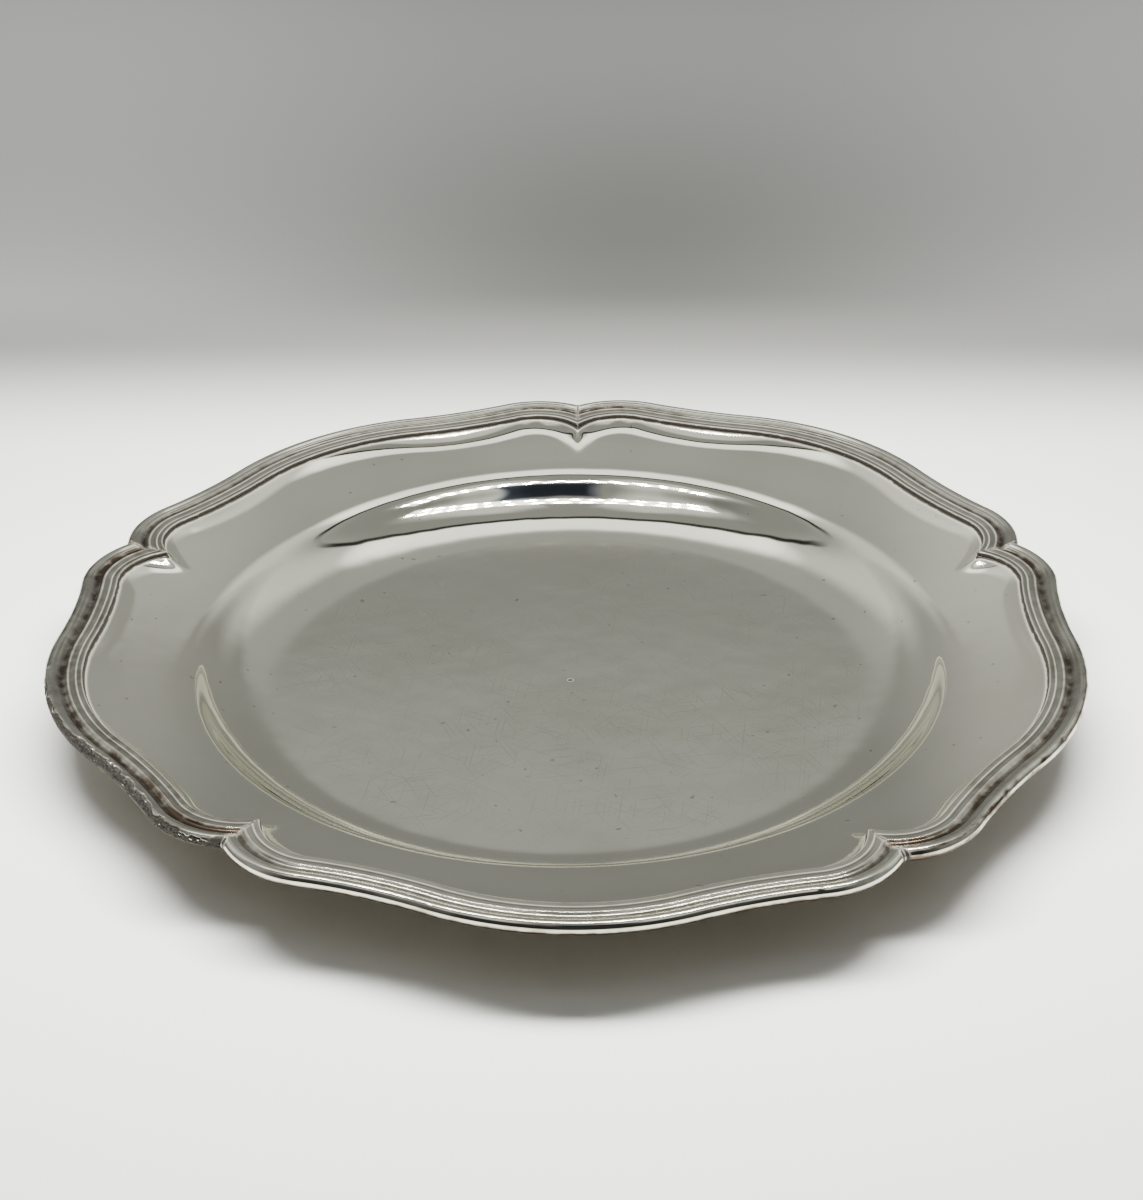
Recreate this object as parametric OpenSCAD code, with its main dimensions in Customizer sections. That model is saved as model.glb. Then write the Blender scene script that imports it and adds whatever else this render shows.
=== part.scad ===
// Round paten plate with a five-lobed rim.
// One raised sheet forms the well, the flange and the ledge of the rim. Five struck mouldings are
// mitred together round the ledge, each backed by a soft filler, with a solder seam in each mitre.
// +Z is up, the underside of the well rests on Z = 0, and one of the notches lies on the +Y side.

/* [Plate] */
// Radius of the plate over the middle of a lobe
plate_r = 150; // [147:0.5:153]
// Height of the plate over the rim bead
plate_h = 24.2; // [23.8:0.1:24.8]
// Thickness of the raised sheet
sheet_t = 1.2; // [1:0.05:1.3]

/* [Well] */
// Radius of the flat floor of the well
floor_r = 87.5; // [86:0.5:89]
// Radius of the hollow bend between floor and wall
bend_r = 26; // [24:0.5:27]
// Steepest slope of the wall, in degrees
wall_angle = 50; // [46:1:52]
// Length of the straight slope between the two bends
wall_len = 1; // [0.5:0.25:1.5]
// Radius of the rounded fold between wall and flange
fold_r = 10; // [8:0.5:11]
// Slope of the flange, in degrees
flange_slope = 12.5; // [11:0.5:13]
// Diameter of the centre punch mark in the floor
punch_d = 1.1; // [0.8:0.1:1.6]

/* [Outline] */
// Radius of the arc at the middle of each lobe
lobe_arc_r = 80.9; // [80:0.1:82]
// Half angle of the arc at the middle of each lobe
lobe_arc_angle = 24; // [23.6:0.1:24.4]
// Radius of the hollow arc on either side of the lobe arc
hollow_arc_r = 157.5; // [150:0.5:165]
// Angle of the hollow arc
hollow_arc_angle = 12.2; // [12:0.1:12.6]
// Radius of the corner arc that runs into each notch
corner_arc_r = 25.9; // [25:0.1:27]

/* [Moulding] */
// Radius of the round bead on the outer edge
bead_r = 1.88; // [1.8:0.01:1.95]
// Thickness of the struck metal of the moulding
skin_t = 0.45; // [0.4:0.01:0.5]
// Radius of the hollow channel inside the bead
channel_r = 1.5; // [1.4:0.05:1.6]
// Radius of the ridge inside the channel
ridge_r = 1.05; // [0.95:0.05:1.1]
// Radius of the small bead next to the flange
inner_bead_r = 0.95; // [0.85:0.05:1]
// Width of the solder seam in each mitre
seam_w = 0.3; // [0.2:0.05:0.4]

/* [Cove] */
// Width of the cove between moulding and flange
cove_w = 6.1; // [5:0.1:7]
// Extra width of the cove at the tip of each notch
cove_extra = 1.4; // [1:0.1:2]

/* [Hidden] */
$fn = 96;
LOBES = 5;
HALF = 180 / LOBES;
FIRST_LOBE = 90 + HALF;

// Heights
rim_z = plate_h - bead_r;
ledge_drop = 0.35;
ledge_z = rim_z - ledge_drop;

// Places along the moulding's section: distance inside the bead's centre, height over it
channel_x = 3.25;
channel_z = 2.05;
shelf_z = 1.3;
ridge_x = 5.6;
ridge_z = 0.35;
inner_bead_x = 8.1;
inner_bead_z = -0.05;
groove_z = 0.35;
seam_x = inner_bead_x + inner_bead_r;
ledge_edge = 0.3;
lip_angle = -75;
lip_start = 0.1;
lip_end = 0.9;

// Centres of the arcs of the rim line, in a frame whose +X runs through the middle of a lobe
rim_r = plate_r - bead_r;
corner_dir = lobe_arc_angle - hollow_arc_angle;
lobe_c = [rim_r - lobe_arc_r, 0];
hollow_c = lobe_c + (lobe_arc_r + hollow_arc_r) * ray(lobe_arc_angle);
corner_c = hollow_c - (hollow_arc_r + corner_arc_r) * ray(corner_dir);

// Corners of the well's section: end of the hollow bend, end of the straight slope, end of the fold
bend_end = [floor_r + bend_r * sin(wall_angle), sheet_t + bend_r * (1 - cos(wall_angle))];
slope_end = bend_end + wall_len * ray(wall_angle);
fold_end = slope_end + fold_r * [sin(wall_angle) - sin(flange_slope),
                                 cos(flange_slope) - cos(wall_angle)];
fold_c = slope_end + fold_r * [sin(wall_angle), -cos(wall_angle)];

// Stations along a half lobe: steps on the lobe arc, on the hollow arc and on the corner arc
ARC_STEPS = [3, 2, 5];
lobe_end = heading(lobe_c + lobe_arc_r * ray(lobe_arc_angle));
hollow_end = heading(hollow_c - hollow_arc_r * ray(corner_dir));
half_stations = concat(steps(0, lobe_end, ARC_STEPS[0]), steps(lobe_end, hollow_end, ARC_STEPS[1]),
                       steps(hollow_end, HALF, ARC_STEPS[2]));
half_count = len(half_stations);
mitre_gap = atan(seam_w / 2 / line_r(-seam_x / 2, HALF));

// Flange ring: where it starts inside the exact sheet, and how finely the cove is divided
ring_r = fold_end[0] + 2;
overlap = 1.5;
embed = 0.15;
COVE_STEPS = 4;
BEND_STEPS = 12;
FOLD_STEPS = 8;

function ray(a) = [cos(a), sin(a)];
function heading(p) = atan2(p[1], p[0]);
function steps(from, to, n) = [for (i = [0:n - 1]) from + (to - from) * i / n];
function clamp(v, low, high) = max(low, min(high, v));

// Points along an arc, both ends included
function arc(c, r, from, to, n) = [for (i = [0:n]) c + r * ray(from + (to - from) * i / n)];

// Angle, from the horizontal, at which a circle of radius r reaches the height dz over its centre
function rise_angle(dz, r) = asin(clamp(dz / r, -1, 1));

// Far and near crossing of the ray at angle a with a circle of centre c and radius r
function far_hit(c, r, a) = let (s = cross(c, ray(a))) c * ray(a) + sqrt(r * r - s * s);
function near_hit(c, r, a) = let (s = cross(c, ray(a))) c * ray(a) - sqrt(r * r - s * s);

// Radius, at angle a from a lobe's middle, of the line that runs "out" mm outside the rim line; past
// the mitre it is the neighbour's line
function line_r(out, a) =
    let (
        b = HALF - abs(HALF - abs(a)),
        lobe_turn = heading(lobe_c + (lobe_arc_r + out) * ray(lobe_arc_angle)),
        hollow_turn = heading(hollow_c - (hollow_arc_r - out) * ray(corner_dir))
    )
    b < lobe_turn ? far_hit(lobe_c, lobe_arc_r + out, b)
    : b < hollow_turn ? near_hit(hollow_c, hollow_arc_r - out, b)
    : far_hit(corner_c, corner_arc_r + out, b);

// Stations over a whole lobe, drawn back by "gap" degrees from the mitre at either end
function lobe_stations(gap) =
    concat([gap - HALF], [for (i = [half_count - 1:-1:1]) -half_stations[i]],
           half_stations, [HALF - gap]);

// Height of the flange's upper side at radius r
function flange_z(r) = fold_end[1] + (r - fold_end[0]) * tan(flange_slope);

// Upper side of the flange, cove and ledge at angle a from a lobe's middle, as [radius, height]
function ring_top(a) =
    let (
        seam = line_r(-seam_x, a),
        width = cove_w + cove_extra * pow(abs(a) / HALF, 4),
        foot = seam - width,
        rise = ledge_z - flange_z(foot),
        start = width * tan(flange_slope) / rise
    )
    concat(
        [[ring_r, flange_z(ring_r) - embed], [ring_r + overlap, flange_z(ring_r + overlap)]],
        [for (t = [0:1 / COVE_STEPS:1])
            [foot + t * width, flange_z(foot) + rise * (start * t + (1 - start) * t * t)]],
        [[line_r(ledge_edge, a), ledge_z]]
    );

// The underside lies one sheet thickness below, with its inner end drawn up inside the exact sheet
function ring_bottom(a) =
    [for (p = ring_top(a)) [p[0], p[1] - sheet_t + (p[0] == ring_r ? 2 * embed : 0)]];

// Outer face of the moulding's section, drawn back by "inset", from the flange over to the bead
function moulding_crest(inset) =
    let (
        small = inner_bead_r - inset,
        ridge = ridge_r - inset,
        channel = channel_r + inset,
        bead = bead_r - inset,
        shelf = shelf_z - inset,
        groove = groove_z - inset
    )
    concat(
        arc([-inner_bead_x, inner_bead_z], small, 180 - rise_angle(-ledge_drop - inner_bead_z, small),
            rise_angle(groove - inner_bead_z, small), 3),
        arc([-ridge_x, ridge_z], ridge, 180 - rise_angle(groove - ridge_z, ridge),
            rise_angle(shelf - ridge_z, ridge), 2),
        arc([-channel_x, channel_z], channel, 180 - rise_angle(shelf - channel_z, channel),
            360 + rise_angle(shelf - channel_z, channel), 3),
        [for (a = concat(steps(180 - rise_angle(shelf, bead), 90, 2), steps(90, 0, 3),
                         steps(0, lip_angle, 2), [lip_angle])) bead * ray(a)]
    );

// The face of the moulding's metal, with its lip under the ledge
function moulding_face() =
    concat(moulding_crest(0), [[lip_start, -sqrt(bead_r * bead_r - lip_start * lip_start)],
                               [-lip_end, -sqrt(bead_r * bead_r - lip_end * lip_end)]]);

// The back of the moulding's metal, which ends along the ledge's edge and underside
function moulding_back() =
    concat(moulding_crest(skin_t), [[ledge_edge, -ledge_drop - sheet_t], [-lip_end, -ledge_drop - sheet_t]]);

// The point of the ledge behind a point of the section, no further back than "reached"
function backing(p, reached) =
    p[0] >= ledge_edge ? [ledge_edge, clamp(p[1], -ledge_drop - sheet_t, -ledge_drop)]
    : p[1] < -ledge_drop - sheet_t ? [p[0], -ledge_drop - sheet_t]
    : [reached, -ledge_drop];

// Steps along the ledge that never turn back, one behind each point from the flange outwards
function backed(points) =
    [for (i = [0:len(points) - 1]) backing(points[i], max([points[0][0], for (j = [0:i]) 
        points[j][0] < 0 ? points[j][0] : points[0][0]]))];

// Points of a section carried to angle a: from [distance outside the rim line, height] to space
function carried(section, a) =
    [for (p = section) let (r = line_r(p[0], a)) [r * cos(a), r * sin(a), p[1]]];

// Closed solid between a row of upper lines and a row of lower lines, each line with equal points
module sheet_solid(upper, lower, round) {
    rows = len(upper);
    n = len(upper[0]);
    loops = [for (j = [0:rows - 1]) concat(upper[j], [for (i = [n - 1:-1:0]) lower[j][i]])];
    points = [for (loop = loops, p = loop) p];
    m = 2 * n;
    sides = [for (j = [0:rows - (round ? 1 : 2)], i = [0:m - 1])
        let (u = (j + 1) % rows, v = (i + 1) % m) [j * m + i, u * m + i, u * m + v, j * m + v]];
    ends = round ? [] : [for (i = [0:n - 2]) each [
        [i, i + 1, m - 2 - i, m - 1 - i],
        [for (q = [m - 1 - i, m - 2 - i, i + 1, i]) (rows - 1) * m + q]]];
    faces = [for (q = concat(sides, ends), f = [[q[0], q[1], q[2]], [q[0], q[2], q[3]]])
        if (is_open(points[f[0]], points[f[1]], points[f[2]])) f];
    polyhedron(points, faces, convexity = 8);
}

function is_open(a, b, c) = min(norm(a - b), norm(b - c), norm(c - a)) > 0.0005;

// Section of the well: floor, hollow bend, straight slope, rounded fold and start of the flange
module well_section() {
    strip_end = [ring_r + overlap / 2, flange_z(ring_r + overlap / 2)];
    bend_c = [floor_r, sheet_t + bend_r];
    polygon(concat(
        [[0, 0]],
        arc(bend_c, bend_r + sheet_t, -90, wall_angle - 90, BEND_STEPS),
        arc(fold_c, fold_r - sheet_t, 90 + wall_angle, 90 + flange_slope, FOLD_STEPS),
        [strip_end + sheet_t * [sin(flange_slope), -cos(flange_slope)], strip_end],
        arc(fold_c, fold_r, 90 + flange_slope, 90 + wall_angle, FOLD_STEPS),
        arc(bend_c, bend_r, wall_angle - 90, -90, BEND_STEPS),
        [[0, sheet_t]]
    ));
}

// Flange, cove and ledge, closed round the plate
module flange_ring() {
    spots = [for (k = [0:LOBES - 1], a = lobe_stations(0)) if (a < HALF) [a, FIRST_LOBE + 2 * HALF * k]];
    upper = [for (s = spots) [for (p = ring_top(s[0])) [each p[0] * ray(s[0] + s[1]), p[1]]]];
    lower = [for (s = spots) [for (p = ring_bottom(s[0])) [each p[0] * ray(s[0] + s[1]), p[1]]]];
    sheet_solid(upper, lower, true);
}

// Strip between two lines of the moulding's section, swept along one lobe
module lobe_strip(upper, lower, stations) {
    sheet_solid([for (a = stations) carried(upper, a)], [for (a = stations) carried(lower, a)], false);
}

module place_lobe(k) {
    rotate([0, 0, FIRST_LOBE + 2 * HALF * (k - 1)]) translate([0, 0, rim_z]) children();
}

module plate_body() {
    color("silver") difference() {
        union() {
            rotate_extrude() well_section();
            flange_ring();
        }
        translate([0, 0, sheet_t]) sphere(d = punch_d);
    }
}

module rim_moulding(k) {
    color("gainsboro") place_lobe(k) lobe_strip(moulding_face(), moulding_back(), lobe_stations(mitre_gap));
}

module moulding_filler(k) {
    core = moulding_crest(skin_t);
    color("dimgray") place_lobe(k) lobe_strip(core, backed(core), lobe_stations(mitre_gap));
}

module mitre_solder() {
    face = moulding_face();
    color("gray") for (k = [1:LOBES]) place_lobe(k)
        lobe_strip(face, backed(face), [HALF - mitre_gap, HALF, HALF + mitre_gap]);
}

plate_body();
for (k = [1:LOBES]) rim_moulding(k);
for (k = [1:LOBES]) moulding_filler(k);
mitre_solder();
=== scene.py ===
"""Looks of the paten plate: a raised silver sheet with a five-lobed, mitred rim moulding."""

import math

import bpy
import numpy as np
from mathutils import Matrix, Vector


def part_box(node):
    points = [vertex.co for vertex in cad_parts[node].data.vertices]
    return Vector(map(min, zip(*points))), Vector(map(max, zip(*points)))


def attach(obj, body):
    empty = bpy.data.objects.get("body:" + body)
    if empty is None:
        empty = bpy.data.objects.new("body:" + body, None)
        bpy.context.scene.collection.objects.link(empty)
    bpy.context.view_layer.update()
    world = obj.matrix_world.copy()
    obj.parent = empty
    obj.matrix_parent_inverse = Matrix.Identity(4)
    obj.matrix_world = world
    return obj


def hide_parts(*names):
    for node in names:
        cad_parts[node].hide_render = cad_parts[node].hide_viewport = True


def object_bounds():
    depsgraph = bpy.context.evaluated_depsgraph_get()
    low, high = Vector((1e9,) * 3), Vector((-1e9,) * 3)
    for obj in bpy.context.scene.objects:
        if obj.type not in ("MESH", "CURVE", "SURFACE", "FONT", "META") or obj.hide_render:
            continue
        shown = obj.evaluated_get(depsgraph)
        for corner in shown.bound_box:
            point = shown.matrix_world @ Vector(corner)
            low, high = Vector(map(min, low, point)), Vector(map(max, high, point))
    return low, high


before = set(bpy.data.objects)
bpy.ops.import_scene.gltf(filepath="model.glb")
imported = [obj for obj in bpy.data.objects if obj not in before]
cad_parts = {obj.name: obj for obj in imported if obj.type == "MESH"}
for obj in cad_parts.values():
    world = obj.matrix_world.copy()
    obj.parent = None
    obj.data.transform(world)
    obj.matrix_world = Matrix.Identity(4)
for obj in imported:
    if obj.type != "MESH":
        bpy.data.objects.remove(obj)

cad_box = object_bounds()

# ---------------------------------------------------------------- sizes, in millimetres and degrees
MM = 0.001
LOBES = 5
HALF = 180 / LOBES
NOTCH = 90

PLATE_R = -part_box("rim_moulding_3")[0].y / MM
PLATE_H = cad_box[1].z / MM

SHEET = 1.2
FLOOR_R = 87.5
BEND_R = 26
WALL_ANGLE = 50
WALL_LEN = 1
FOLD_R = 10
FLANGE_SLOPE = 12.5
FLANGE_RUN = 50
WELL_SOFTNESS = 1.3

LOBE_ARC_R = 80.9
LOBE_ARC_ANGLE = 24
HOLLOW_ARC_R = 157.5
HOLLOW_ARC_ANGLE = 12.2
CORNER_ARC_R = 25.9

# the moulding's section: each arc is x out from the rim line, z over it, and radius
BEAD_R = 1.88
SKIN = 0.45
CHANNEL = (-3.25, 2.05, 1.5)
RIDGE = (-5.6, 0.35, 1.05)
INNER_BEAD = (-8.1, -0.05, 0.95)
SHELF_Z = 1.3
GROOVE_Z = 0.68
LEDGE_DROP = 0.35
LEDGE_EDGE = 0.3
LIP_ANGLE = -75
LIP_END = -0.9
EDGE_SOFTNESS = 0.26
# rubbed down towards one height between the seam and the channel
RUBBED_Z = 0.9
RUBBED_DOWN = 0.85
RUBBED_SEAM = 0.6
RUBBED_CHANNEL = (4.5, 5.2)

# the cove inside the moulding; it fades out over the radii of NOSE, which leaves a nose at each notch
COVE_W = 6.1
COVE_FOOT = 0.55
COVE_START = 115.5
COVE_LIMIT = 1.02
COVE_SOFTNESS = 1.4
NOSE = (120.5, 129.3)

MITRE_SOFTNESS = 0.45
MITRE_GAP = 0.09
FILL_GAP = 0.01
FILL_CLEARANCE = 0.02
SOLDER_PROUD = 0.05
SOLDER_LUMPS = 0.8
PUNCH_R = 0.6
PUNCH_DEPTH = 0.3
UNDER_TRIM = 0.5

RIM_R = PLATE_R - BEAD_R
RIM_Z = PLATE_H - BEAD_R
LEDGE_Z = RIM_Z - LEDGE_DROP
SEAM = INNER_BEAD[0] - INNER_BEAD[2]

# ---------------------------------------------------------------- mesh spacing
FINE_STEP = 0.02
WELL_STEP = 0.05
SECTION_STEP = 0.15
BACK_STRIDE = 3
UNDER_STRIDE = 2
CORE_STRIDE = 3
SOLDER_STRIDE = 2
WORN_COLUMNS = 260
LOBE_COLUMNS = 170
CORE_COLUMNS = 60
SHEET_COLUMNS = 66
SOLDER_COLUMNS = 5
PUNCH_ROWS = (0.02, 0.15, 0.3, 0.42, 0.55, 0.7, 1, 1.6, 3)
FLOOR_ROWS = (6, 84, 3.5)
WALL_ROWS = (84, 119, 0.5)
COVE_ROWS = 50
LEDGE_ROWS = (0.04, 0.3, 0.7, 1)

# ---------------------------------------------------------------- hand work, wear and dirt
# slow waves round the rim: how many, height in mm, and phase; they grow over the radii of WANDERS
SHRINK = 0.9915
RIM_DROP = 0.27
WANDERS = (108, 140)
OUT_OF_ROUND = ((2, 0.70, 41), (3, 1.38, -66), (4, 0.21, 112))
SLID_ROUND = ((2, 0.30, -6), (3, 0.23, 187), (4, 0.50, -14))
WARPED = ((2, 0.32, -86), (3, 0.10, 22))

# the worn patch: its reach from the lip at angles from the lobe's first mitre
WORN_LOBE = 1
WORN_FOOT = 2.8
WORN_ANGLES = (0, 24, 29, 37, 46, 56, 62, 66, 70, 72)
WORN_REACH = (0, 0, 3.8, 5.8, 6.9, 6.9, 6.4, 5.4, 4.6, 4.0)
WORN_LEAST = 0.7
WORN_VARIES = 0.6
LEAST_REACH = 0.05
FLAKED_TOP = 1.1
FLAKED_FOOT = 0.8
TOP_EDGE = 0.12
FOOT_EDGE = 0.1
WORN_DEPTH = SKIN + 0.12
GRAIN_CONTRAST = 1.5
GRAIN_DROP = 0.3
LUMPS_TO_DEGREE = 3
LUMP_SIZE = 0.7
# noise over the section: size along the rim, size across it, and seed
RAGGED = (3.1, 2.2, 11)
FLAKES = (1.3, 0.8, 29)
GRAINS = (0.8, 0.5, 47)
BLOTCHES = (5.0, 1.6, 80)
FILM = (14.0, 3.0, 90)
LUMPS_SEED = 60

# small marks: lobe, angle from its first mitre, place across the section, size and depth
NICKS = ((3, 27.8, 1.2, 0.55, 0.35), (3, 8.0, -4.6, 0.30, 0.25), (3, 8.4, -3.2, 0.25, 0.2),
         (3, 8.6, 0.2, 0.3, 0.2), (3, 5.2, -8.6, 0.3, 0.25), (2, 7.9, -8.9, 0.35, 0.3),
         (2, 61.5, 0.9, 0.4, -0.2), (1, 30.5, 0.6, 0.5, 0.2), (4, 31, 1.0, 0.4, 0.15))
UPPER_SIDE = -0.5

# tarnish of each lobe's moulding, in places also painted shade; then each stain's amount, and where it lies
# across the section
TARNISHED = (0.9, 1.5, 0.4, 1.1, 0.9)
ALL_OVER = 0.12
FILMS = 0.3
FILM_LEVELS = (0.25, 0.8)
OUTER_SIDE = 0.9
OUTER_SIDE_X = (-0.3, 1.4)
BLOTCH_LEVELS = (0.35, 0.75)
IN_CHANNEL = 0.65
IN_CHANNEL_AT_MITRE = 0.6
CHANNEL_STAIN = (-0.1, 1.35)
MITRE_REACH = 22
WORN_STAIN = 0.9
WORN_STAIN_RISE = 3
# tarnish and painted shade on the bead's lower side, which dulls the bright band it mirrors there
UNDER_BEAD_TARNISH_AND_SHADE = 1.05
UNDER_BEAD_Z = (-0.3, 0.8)
UNDER_BEAD_FROM = -1
# stain on the inner bead and the ridge, also painted shade that dims their highlight
INNER_BEAD_STAIN_AND_SHADE = 0.12
INNER_BEAD_TO = -4.6
# tarnish on the sheet's underside, also painted shade: dark enough to deepen the shadow under the plate
UNDERSIDE_TARNISH_AND_SHADE = 1.1

# dirt: lines along the moulding as x, width and amount; then amounts and widths of the rest
DIRT_LINES = ((SEAM + 0.05, 0.32, 1.3), (-7.05, 0.14, 0.7), (-4.9, 0.2, 0.35))
SHEET_SEAM = 1.4
SHEET_SEAM_W = 0.5
PUNCH_DIRT = 1.3
PUNCH_DIRT_R = 1.2 * PUNCH_R
MITRE_DIRT = 0.9
MITRE_DIRT_W = 0.7
MITRE_DIRT_ACROSS = (0.4, 2.6)
CLOGGED_DIRT = 1.35
CLOGGED_MITRE = 2.8
OTHER_MITRE = 1.2
CLOGGED_X = (0.0, 0.8)
LIP_DIRT_W = 0.5
WORN_DIRT = 1.1
WORN_DIRT_RISE = 14


# ---------------------------------------------------------------- small helpers
def ray(a):
    """Unit vector at angle a, in degrees."""
    return np.array([np.cos(np.radians(a)), np.sin(np.radians(a))])


def smooth(x, low, high):
    """Smooth step from 0 at low to 1 at high."""
    t = np.clip((x - low) / (high - low), 0, 1)
    return t * t * (3 - 2 * t)


def bell(x, width):
    """Soft bump, 1 at x = 0 and about a third at x = width."""
    return np.exp(-(x / width) ** 2)


def blur(values, spacing, width):
    """Gaussian blur of evenly spaced values, with the ends held."""
    n = int(math.ceil(3 * width / spacing))
    kernel = np.exp(-0.5 * (np.arange(-n, n + 1) * spacing / width) ** 2)
    padded = np.concatenate([np.full(n, values[0]), values, np.full(n, values[-1])])
    return np.convolve(padded, kernel / kernel.sum(), mode="valid")


def arc(centre_r, start, end):
    """Closely spaced points along an arc given as (x, z, radius)."""
    x, z, r = centre_r
    count = max(3, int(abs(math.radians(end - start)) * r / FINE_STEP))
    return [np.array([x, z]) + r * ray(a) for a in np.linspace(start, end, count)]


def rise_angle(dz, r):
    """Angle from the horizontal at which a circle of radius r reaches the height dz over its centre."""
    return math.degrees(math.asin(max(-1, min(1, dz / r))))


# ---------------------------------------------------------------- the rim line
CORNER_DIR = LOBE_ARC_ANGLE - HOLLOW_ARC_ANGLE
LOBE_C = np.array([RIM_R - LOBE_ARC_R, 0])
HOLLOW_C = LOBE_C + (LOBE_ARC_R + HOLLOW_ARC_R) * ray(LOBE_ARC_ANGLE)
CORNER_C = HOLLOW_C - (HOLLOW_ARC_R + CORNER_ARC_R) * ray(CORNER_DIR)


def hit(centre, r, a, side):
    """Distance from the origin at which the ray at angle a crosses a circle."""
    c, s = np.cos(np.radians(a)), np.sin(np.radians(a))
    along = centre[0] * c + centre[1] * s
    across = centre[0] * s - centre[1] * c
    return along + side * np.sqrt(np.maximum(r * r - across * across, 0))


def from_mitre(theta, r, softness):
    """Angle from the nearest mitre for an angle theta from a mitre, rounded over `softness` mm."""
    m = (theta + HALF) % (2 * HALF) - HALF
    soft = np.degrees(softness / np.maximum(r, 1))
    return np.sqrt(m * m + soft * soft)


def line_r(out, theta, softness):
    """Radius, at angle theta from a mitre, of the line that runs `out` mm outside the rim line."""
    b = HALF - from_mitre(theta, RIM_R + out, softness)
    lobe_turn = LOBE_C + (LOBE_ARC_R + out)[..., None] * ray(LOBE_ARC_ANGLE)
    hollow_turn = HOLLOW_C - (HOLLOW_ARC_R - out)[..., None] * ray(CORNER_DIR)
    at_lobe = np.degrees(np.arctan2(lobe_turn[..., 1], lobe_turn[..., 0]))
    at_hollow = np.degrees(np.arctan2(hollow_turn[..., 1], hollow_turn[..., 0]))
    return np.where(b < at_lobe, hit(LOBE_C, LOBE_ARC_R + out, b, 1),
                    np.where(b < at_hollow, hit(HOLLOW_C, HOLLOW_ARC_R - out, b, -1),
                             hit(CORNER_C, CORNER_ARC_R + out, b, 1)))


def outside_rim(r, theta, softness):
    """How far a point lies outside the rim line, which is negative within it."""
    b = np.radians(HALF - from_mitre(theta, r, softness))
    p = np.stack([r * np.cos(b), r * np.sin(b)], -1)
    to_lobe, to_hollow, to_corner = p - LOBE_C, p - HOLLOW_C, p - CORNER_C
    in_lobe = np.degrees(np.arctan2(to_lobe[..., 1], to_lobe[..., 0])) < LOBE_ARC_ANGLE
    in_corner = np.degrees(np.arctan2(to_corner[..., 1], to_corner[..., 0])) > CORNER_DIR
    return np.where(in_lobe, np.linalg.norm(to_lobe, axis=-1) - LOBE_ARC_R,
                    np.where(in_corner, np.linalg.norm(to_corner, axis=-1) - CORNER_ARC_R,
                             HOLLOW_ARC_R - np.linalg.norm(to_hollow, axis=-1)))


def along_rim(theta):
    """Distance in millimetres along the rim for an angle."""
    return theta * RIM_R * math.pi / 180


# ---------------------------------------------------------------- the sheet's section
def well_table():
    """Radius and height of the sheet's upper side, from its slope along the section."""
    bend_len = math.radians(WALL_ANGLE) * BEND_R
    fold_len = math.radians(WALL_ANGLE - FLANGE_SLOPE) * FOLD_R
    ends = np.cumsum([FLOOR_R, bend_len, WALL_LEN, fold_len, FLANGE_RUN])
    s = np.arange(0, ends[-1], WELL_STEP)
    slope = np.interp(s, ends, [0, WALL_ANGLE, WALL_ANGLE, FLANGE_SLOPE, FLANGE_SLOPE])
    slope = np.radians(blur(slope, WELL_STEP, WELL_SOFTNESS))
    r = np.concatenate([[0], np.cumsum(np.cos(slope) * WELL_STEP)])
    z = np.concatenate([[0], np.cumsum(np.sin(slope) * WELL_STEP)]) + SHEET
    return r, z


WELL_RADII, WELL_HEIGHTS = well_table()


def sheet_height(r, theta):
    """Height of the sheet's upper side up to the seam of the moulding."""
    base = np.interp(r, WELL_RADII, WELL_HEIGHTS)
    seam_r = line_r(np.full_like(r, SEAM), theta, COVE_SOFTNESS)
    rise = LEDGE_Z - np.interp(seam_r, WELL_RADII, WELL_HEIGHTS)
    inside = outside_rim(r, theta, COVE_SOFTNESS) - SEAM + COVE_W
    up_cove = 0.5 * (inside + np.sqrt(inside * inside + 4 * COVE_FOOT * COVE_FOOT))
    t = np.clip(up_cove / COVE_W, 0, COVE_LIMIT) * (r > COVE_START)
    return base + rise * t * t * smooth(r, *NOSE)


# ---------------------------------------------------------------- the moulding's section
def moulding_section():
    """Outer face of the moulding from the flange over to the lip, before its edges are softened."""
    ix, iz, ir = INNER_BEAD
    rx, rz, rr = RIDGE
    cx, cz, cr = CHANNEL
    points = arc(INNER_BEAD, 180 - rise_angle(-LEDGE_DROP - iz, ir), rise_angle(GROOVE_Z - iz, ir))
    points += arc(RIDGE, 180 - rise_angle(GROOVE_Z - rz, rr), rise_angle(SHELF_Z - rz, rr))
    points += arc(CHANNEL, 180 - rise_angle(SHELF_Z - cz, cr), 360 + rise_angle(SHELF_Z - cz, cr))
    points += arc((0, 0, BEAD_R), 180 - rise_angle(SHELF_Z, BEAD_R), LIP_ANGLE)
    points.append(np.array([LIP_END, -math.sqrt(BEAD_R ** 2 - LIP_END ** 2)]))
    points = np.array(points)
    x = points[:, 0]
    rubbed = smooth(x, SEAM, SEAM + RUBBED_SEAM) * smooth(-x, *RUBBED_CHANNEL) * RUBBED_DOWN
    points[:, 1] += rubbed * (RUBBED_Z - points[:, 1])
    return points


def resampled(points, spacing, softness):
    """Points `spacing` mm apart along a line, rounded over `softness` mm."""
    steps = np.linalg.norm(np.diff(points, axis=0), axis=1)
    along = np.concatenate([[0], np.cumsum(steps)])
    fine = np.arange(0, along[-1], FINE_STEP)
    line = [blur(np.interp(fine, along, points[:, i]), FINE_STEP, softness) for i in (0, 1)]
    count = int(round(along[-1] / spacing)) + 1
    spots = np.linspace(0, fine[-1], count)
    return np.stack([np.interp(spots, fine, values) for values in line], -1)


def section_normals(section):
    """Unit normals of a section, pointing out of the metal."""
    along = np.gradient(section, axis=0)
    normal = np.stack([-along[:, 1], along[:, 0]], -1)
    return normal / np.linalg.norm(normal, axis=1)[:, None]


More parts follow.
